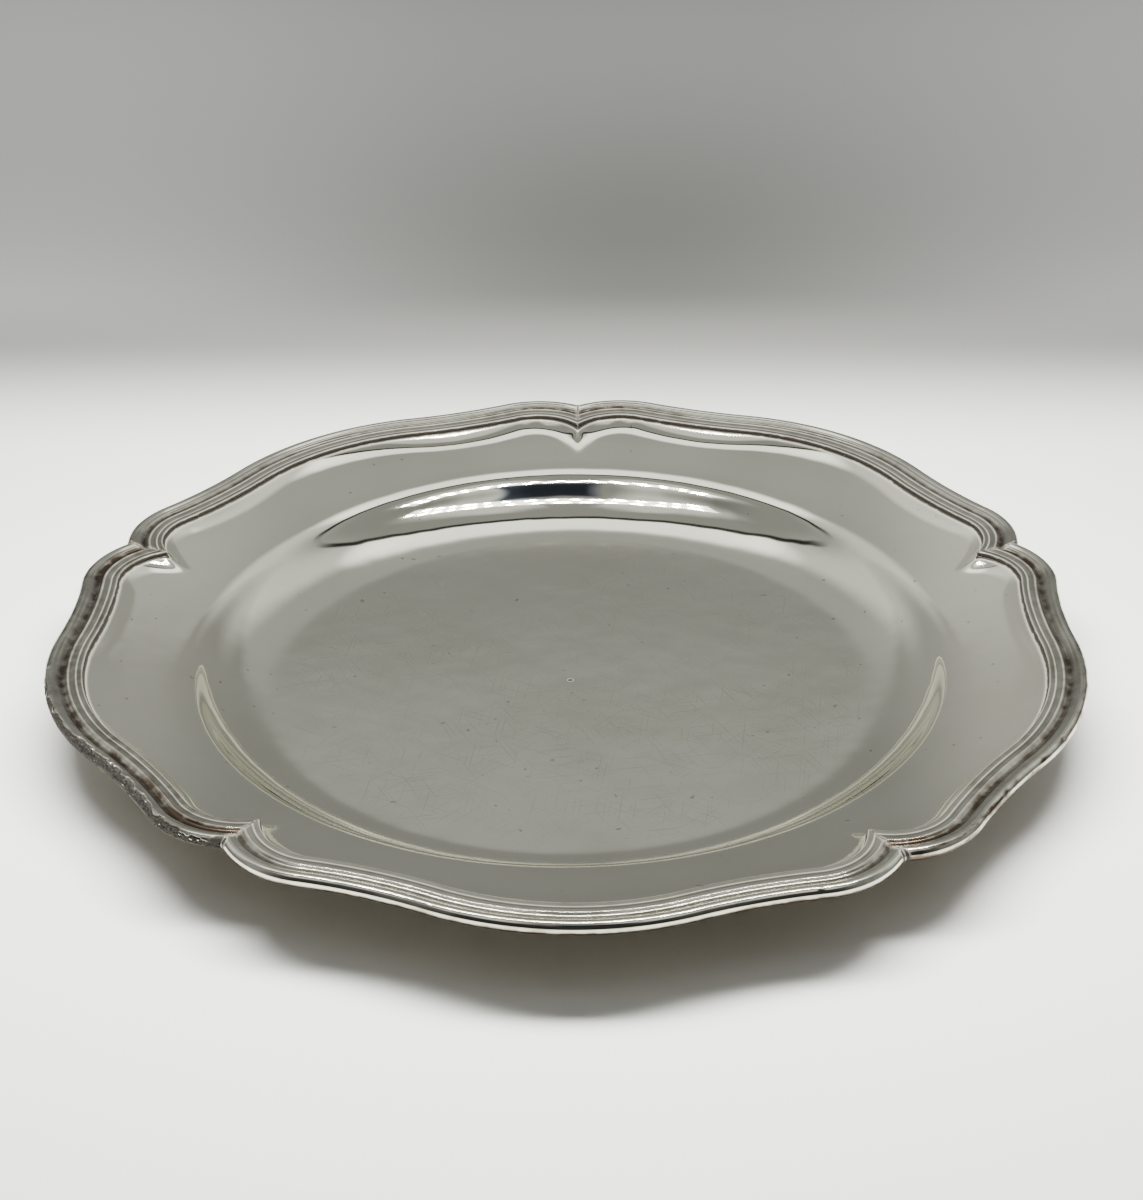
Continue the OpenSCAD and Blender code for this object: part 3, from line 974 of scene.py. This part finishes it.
def room_behind(tree, high, turn, person):
    """Light of the room behind the camera: dark, with two soft windows and a person between them."""
    aside = calc(tree, "ABSOLUTE", turn)
    wall = ramp(tree, aside, *BEHIND_TURN, *BEHIND_LIGHT)
    ceiling = ramp(tree, high, *CEILING_HEIGHT, 0, CEILING_LIGHT)
    windows = times(tree, between(tree, aside, *WINDOW_TURN), between(tree, high, *WINDOW_HEIGHT),
                    WINDOW_LIGHT)
    lit = plus(tree, calc(tree, "MAXIMUM", wall, ceiling), windows)
    return times(tree, lit, rest(tree, times(tree, person, PERSON_DARKNESS)))


def person_shape(tree, high, back, aside):
    """Where the person behind the camera is, from 0 to 1: the dark blue oval in the far wall."""
    body = times(tree, ramp(tree, apart(tree, aside, PERSON_AT), *PERSON_REACH, 1, 0),
                 between(tree, high, *PERSON_HEIGHT))
    return times(tree, body, ramp(tree, back, *PERSON_BEHIND, 1, 0))


def studio_world():
    """Soft room by direction: ahead of the camera, behind it, and a dark slot overhead."""
    made = bpy.data.worlds.new("studio")
    made.use_nodes = True
    tree = made.node_tree
    coords = tree.nodes.new("ShaderNodeTexCoord")
    x, y, z = split(tree, coords.outputs["Generated"])
    high = times(tree, calc(tree, "ARCSINE", z), 180 / math.pi)
    turn = times(tree, calc(tree, "ARCTAN2", x, y), 180 / math.pi)
    above = calc(tree, "MAXIMUM", z, LEAST_HEIGHT)
    forth = calc(tree, "DIVIDE", y, above)
    aside = calc(tree, "DIVIDE", x, above)
    across = calc(tree, "ABSOLUTE", aside)
    person = person_shape(tree, high, y, aside)
    ahead = room_ahead(tree, high, turn, across)
    behind = room_behind(tree, high, turn, person)
    share = plus(tree, times(tree, ramp(tree, y, *MEETING), ramp(tree, high, *OVERHEAD, 1, 0)),
                 times(tree, ramp(tree, forth, *MEETING_OVERHEAD), ramp(tree, high, *OVERHEAD)))
    room = plus(tree, times(tree, share, ahead), times(tree, rest(tree, share), behind))
    slot = times(tree, ramp(tree, apart(tree, forth, SLOT_AT), *SLOT_WIDTH, 1, 0),
                 ramp(tree, across, *SLOT_REACH, SLOT_DARKNESS, 0))
    background = tree.nodes["Background"]
    tree.links.new(blend(tree, person, ROOM_COLOUR, PERSON_COLOUR), background.inputs["Color"])
    tree.links.new(times(tree, room, rest(tree, slot)), background.inputs["Strength"])
    bpy.context.scene.world = made


studio_world()

# ---------------------------------------------------------------- lights, in metres and watts
LAMP_COLOUR = (1.0, 0.995, 0.96)
KEY_AT = (-0.01, 0.0, 0.42)
KEY_SIZE = (0.54, 0.14)
KEY_POWER = 8.9
GLOW_SIZE = (0.42, 0.05)
GLOW_POWER = 0.2
GLOW_OVER_LAMPS = 0.002
LAMP_ROWS = (-0.035, -0.005)
LAMPS_IN_ROW = 15
LAMP_PITCH = 0.026
LAMP_CENTRE = 0.02
LAMP_Z = 0.40
LAMP_SIZE = 0.012
LAMP_POWER = 1.8


def area_light(name, power):
    """Area light whose shape and size are still to be set."""
    light = bpy.data.lights.new(name, "AREA")
    light.energy = power
    light.color = LAMP_COLOUR
    return light


def placed(name, light, place):
    """Object that holds a light at a place, shining down."""
    lamp = bpy.data.objects.new(name, light)
    lamp.location = place
    bpy.context.scene.collection.objects.link(lamp)
    return lamp


def ceiling_panels():
    """A soft key panel that the silver doesn't mirror, and a weak narrow one that it does."""
    glow_at = (LAMP_CENTRE, sum(LAMP_ROWS) / 2, LAMP_Z + GLOW_OVER_LAMPS)
    for name, size, power, place, mirrored in (("key_panel", KEY_SIZE, KEY_POWER, KEY_AT, False),
                                               ("glow_panel", GLOW_SIZE, GLOW_POWER, glow_at, True)):
        light = area_light(name, power)
        light.shape = "RECTANGLE"
        light.size, light.size_y = size
        placed(name, light, place).visible_glossy = mirrored


def lamp_rows():
    """Rows of small ceiling lamps, seen in the polished wall as strings of sparks."""
    light = area_light("small_lamp", LAMP_POWER / (len(LAMP_ROWS) * LAMPS_IN_ROW))
    light.shape = "DISK"
    light.size = LAMP_SIZE
    for row, y in enumerate(LAMP_ROWS):
        for n in range(LAMPS_IN_ROW):
            x = LAMP_CENTRE + (n + row / 2 - (LAMPS_IN_ROW - 1) / 2) * LAMP_PITCH
            placed(f"lamp_{row + 1}_{n + 1}", light, (x, y, LAMP_Z))


ceiling_panels()
lamp_rows()

# ---------------------------------------------------------------- camera
CAMERA_DISTANCE = 0.7021
CAMERA_PITCH = 29.23
CAMERA_ROLL = -0.72
CAMERA_TURN = 1.66
CAMERA_AIM = (0.60, 5.35)
FOCAL_LENGTH = 73.1
SENSOR_WIDTH = 36


def photo_camera():
    """Camera at the photo's angle, aimed a little off the middle of the rim."""
    pitch, roll = math.radians(CAMERA_PITCH), math.radians(CAMERA_ROLL)
    forward = Vector((0, math.cos(pitch), -math.sin(pitch)))
    right = Vector((1, 0, 0))
    up = right.cross(forward)
    tilted_right = right * math.cos(roll) + up * math.sin(roll)
    tilted_up = up * math.cos(roll) - right * math.sin(roll)
    view = Matrix((tilted_right, tilted_up, -forward)).transposed().to_4x4()
    rim_centre = Vector((0, 0, (RIM_Z * SHRINK - RIM_DROP) * MM))
    aim_off = (right * CAMERA_AIM[0] + up * CAMERA_AIM[1]) * MM
    view.translation = rim_centre + aim_off - forward * CAMERA_DISTANCE
    camera = bpy.data.objects.new("camera", bpy.data.cameras.new("camera"))
    camera.matrix_world = Matrix.Rotation(math.radians(CAMERA_TURN), 4, "Z") @ view
    camera.data.lens = FOCAL_LENGTH
    camera.data.sensor_width = SENSOR_WIDTH
    bpy.context.scene.collection.objects.link(camera)
    bpy.context.scene.camera = camera


photo_camera()
